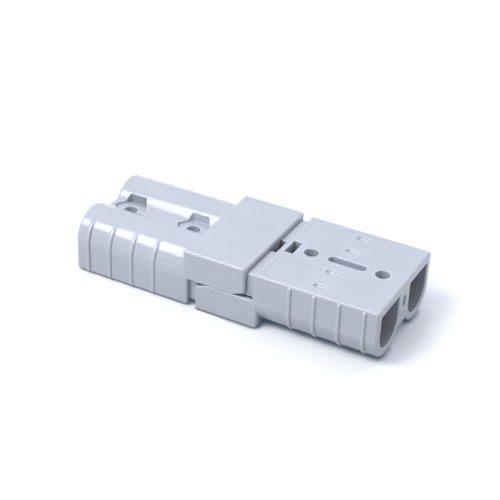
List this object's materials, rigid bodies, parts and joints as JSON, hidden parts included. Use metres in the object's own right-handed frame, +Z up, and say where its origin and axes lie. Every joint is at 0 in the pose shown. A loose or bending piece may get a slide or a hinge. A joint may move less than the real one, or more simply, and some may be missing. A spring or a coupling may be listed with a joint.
{
  "type": "battery connector",
  "caption": "Mated battery connector: moulded grey housings with crimp contacts and leaf springs, whose halves slide together and pull apart lengthwise.",
  "frame": {"origin": "middle of the mated pair in plan, on the surface that the pair stands on, which is the face of the right half's hood", "axes": "+X along the pair towards the wire end of the right half, +Y across the poles to the far side, +Z up"},
  "size_m": [0.1814, 0.0718, 0.0348],
  "materials": {
    "housing": "pale blue-grey moulded plastic, glossy, with fine moulding texture",
    "contact": "silver-plated copper alloy, satin",
    "spring": "rolled stainless strip, satin"
  },
  "bodies": {
    "right_half": {"right_housing": "housing", "right_contact_near": "contact", "right_spring_near": "spring", "right_contact_far": "contact", "right_spring_far": "spring"},
    "left_half": {"left_housing": "housing", "left_contact_near": "contact", "left_spring_near": "spring", "left_contact_far": "contact", "left_spring_far": "spring"}
  },
  "joints": [
    {"name": "pull_apart", "type": "slide", "parent": "right_half", "child": "left_half", "axis": [-1, 0, 0], "range_m": [0, 0.03]}
  ]
}
